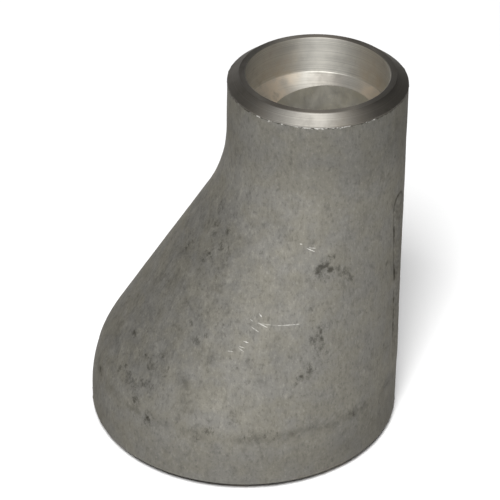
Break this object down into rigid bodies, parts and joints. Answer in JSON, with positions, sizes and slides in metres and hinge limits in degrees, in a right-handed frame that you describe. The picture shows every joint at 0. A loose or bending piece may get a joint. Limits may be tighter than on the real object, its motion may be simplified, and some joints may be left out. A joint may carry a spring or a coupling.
{
  "type": "eccentric reducer",
  "caption": "Butt-weld eccentric pipe reducer: a flat-sided steel cone that joins a large pipe to a smaller one set off to one side, with bevelled weld ends.",
  "frame": {"origin": "centre of the large end's face, on the axis of the large end; the part stands on this face", "axes": "+Z from the large end up to the small end; +X towards the straight side, so the small end's axis is at x = +13.45 mm; the sloped side faces -X"},
  "size_m": [0.0605, 0.0602, 0.0762],
  "materials": {
    "formed_shell": "matte grey as-formed and pickled steel, machined bright at both weld ends",
    "weld_metal": "matte brushed and pickled weld bead"
  },
  "bodies": {
    "root": {"formed_shell": "formed_shell", "seam_root_run": "weld_metal", "seam_cap_run": "weld_metal"}
  },
  "joints": []
}
